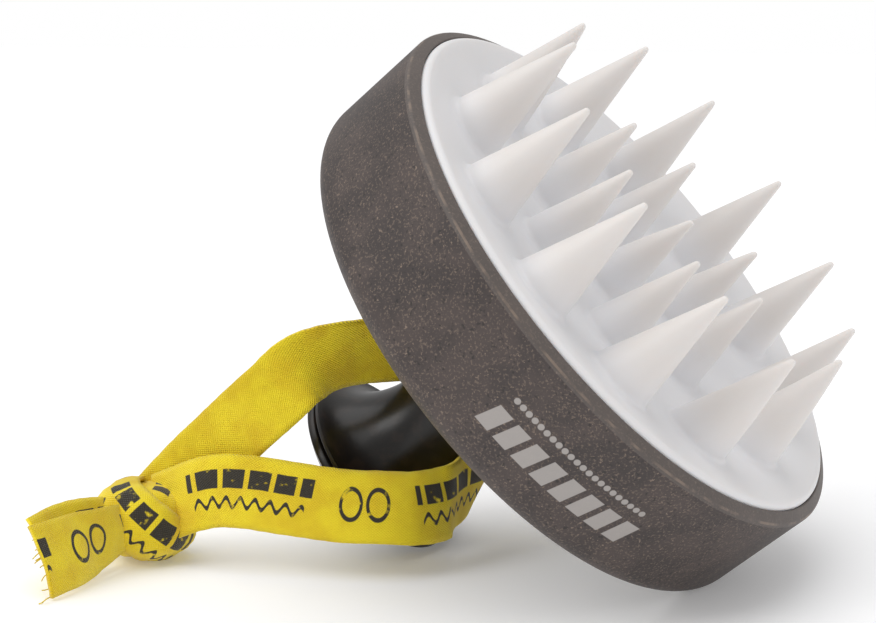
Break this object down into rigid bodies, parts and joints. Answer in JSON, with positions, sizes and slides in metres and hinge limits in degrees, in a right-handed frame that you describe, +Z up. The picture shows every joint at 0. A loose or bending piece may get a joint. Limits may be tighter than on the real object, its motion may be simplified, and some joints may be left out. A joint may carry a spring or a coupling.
{
  "type": "scalp massager brush",
  "caption": "Round hand brush with soft silicone cones on its face, a flared knob on its back to hold between the fingers, and a knotted ribbon loop to hang it by.",
  "frame": {"origin": "centre of the bounding box on the floor that the brush lies on", "axes": "+Z up; +X the level direction in which the brush's own axis points, from knot to cones; the brush's axis is 39.8 degrees above the floor in the XZ plane"},
  "size_m": [0.0928, 0.0798, 0.0684],
  "materials": {
    "composite": "matte, speckled bio-composite",
    "silicone": "soft satin, slightly translucent",
    "carrier_plastic": "as moulded",
    "knob_gloss": "semi-gloss",
    "screw_steel": "plain zinc",
    "ribbon": "woven"
  },
  "bodies": {
    "brush": {"body_shell": "composite", "silicone_pad": "silicone", "pad_carrier": "carrier_plastic", "carrier_screw_1": "screw_steel", "carrier_screw_2": "screw_steel", "carrier_screw_3": "screw_steel", "knob": "knob_gloss", "knob_cap": "knob_gloss", "knob_screw": "screw_steel", "knob_washer": "screw_steel"},
    "strap": {"strap_upper": "ribbon", "strap_wrap": "ribbon", "strap_lower": "ribbon", "strap_knot": "ribbon", "strap_tail_left": "ribbon", "strap_tail_right": "ribbon"}
  },
  "joints": [
    {"name": "strap_swivel", "type": "hinge", "parent": "brush", "child": "strap", "pos_m": [-0.00244, 0.00251, 0.02149], "axis": [0.7685, 0, 0.6398], "continuous": true}
  ]
}
